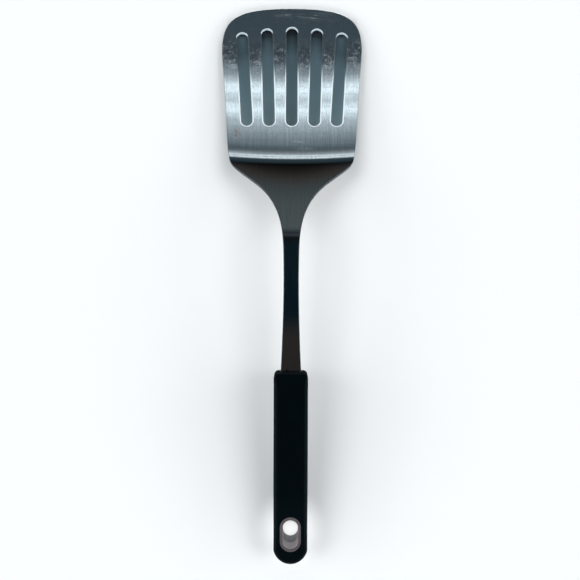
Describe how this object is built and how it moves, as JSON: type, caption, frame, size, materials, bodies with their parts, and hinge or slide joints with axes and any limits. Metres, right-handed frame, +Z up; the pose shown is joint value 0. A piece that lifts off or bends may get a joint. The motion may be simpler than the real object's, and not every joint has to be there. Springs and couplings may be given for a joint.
{
  "type": "grill spatula",
  "caption": "Slotted grill spatula: a stamped steel blade, cranked neck and shank in a soft-touch grip with a lined oval hanging hole.",
  "frame": {"origin": "centre of the bounding box in X and Y, on the table that the tool lies on, front up, resting on the blade's tip and the butt of the grip", "axes": "+Y along the tool towards the blade's tip, +Z up, out of the tool's front, +X to the right when the front is seen with the blade up"},
  "size_m": [0.0984, 0.371, 0.0344],
  "materials": {
    "steel": "long-grain brushed blade, smoother shank, softly broken edges",
    "core": "fine matte, warm grey",
    "grip": "matte black soft touch"
  },
  "bodies": {
    "root": {"blade_and_shank": "steel", "handle_core_front": "core", "handle_core_back": "core", "grip_sleeve": "grip"}
  },
  "joints": []
}
